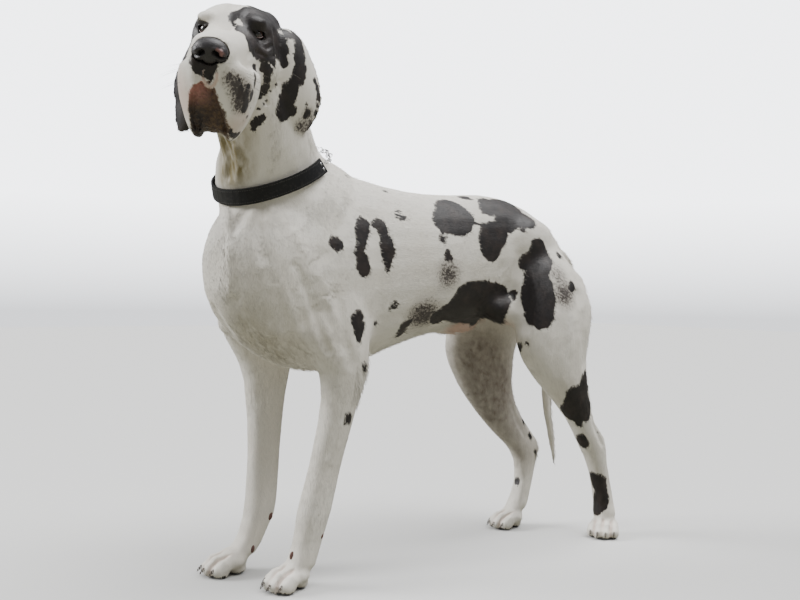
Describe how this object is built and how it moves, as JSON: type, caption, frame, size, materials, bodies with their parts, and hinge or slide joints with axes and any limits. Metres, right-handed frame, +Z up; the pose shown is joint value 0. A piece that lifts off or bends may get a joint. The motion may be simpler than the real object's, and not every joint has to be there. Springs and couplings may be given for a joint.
{
  "type": "great dane",
  "caption": "Standing harlequin great dane with its head raised and turned to its left, ears hanging, tail down, in a leather collar with a chain at the back.",
  "frame": {"origin": "middle of the dog's box at floor level, under the chest between the four paws", "axes": "+X to the dog's left, +Y towards the tail, +Z up; the dog faces -Y with its head turned to its left"},
  "size_m": [0.5634, 1.2776, 1.2208],
  "materials": {
    "coat": "short smooth fur, white with torn black patches",
    "eye": "wet, glossy",
    "nose_leather": "pebbled, damp",
    "claw": "horn, satin",
    "strap_leather": "smooth, satin",
    "chain_steel": "polished steel"
  },
  "bodies": {
    "root": {"chain_link_01": "chain_steel", "chain_link_02": "chain_steel", "chain_link_03": "chain_steel", "chain_link_04": "chain_steel", "chain_link_05": "chain_steel", "chain_link_06": "chain_steel", "chain_link_07": "chain_steel", "chain_link_08": "chain_steel", "chain_link_09": "chain_steel", "chain_link_10": "chain_steel", "chain_link_11": "chain_steel", "chain_link_12": "chain_steel", "chain_link_13": "chain_steel", "chain_link_14": "chain_steel", "chain_link_15": "chain_steel", "chain_link_16": "chain_steel", "claw_forepaw_left_1": "claw", "claw_forepaw_left_2": "claw", "claw_forepaw_left_3": "claw", "claw_forepaw_left_4": "claw", "claw_forepaw_right_1": "claw", "claw_forepaw_right_2": "claw", "claw_forepaw_right_3": "claw", "claw_forepaw_right_4": "claw", "claw_hindpaw_left_1": "claw", "claw_hindpaw_left_2": "claw", "claw_hindpaw_left_3": "claw", "claw_hindpaw_left_4": "claw", "claw_hindpaw_right_1": "claw", "claw_hindpaw_right_2": "claw", "claw_hindpaw_right_3": "claw", "claw_hindpaw_right_4": "claw", "collar_strap": "strap_leather", "ear_left": "coat", "ear_right": "coat", "eye_left": "eye", "eye_right": "eye", "foreleg_left": "coat", "foreleg_right": "coat", "forepaw_left": "coat", "forepaw_right": "coat", "head": "coat", "hindleg_left": "coat", "hindleg_right": "coat", "hindpaw_left": "coat", "hindpaw_right": "coat", "neck": "coat", "nose": "nose_leather", "tail": "coat", "thigh_left": "coat", "thigh_right": "coat", "torso": "coat"}
  },
  "joints": []
}
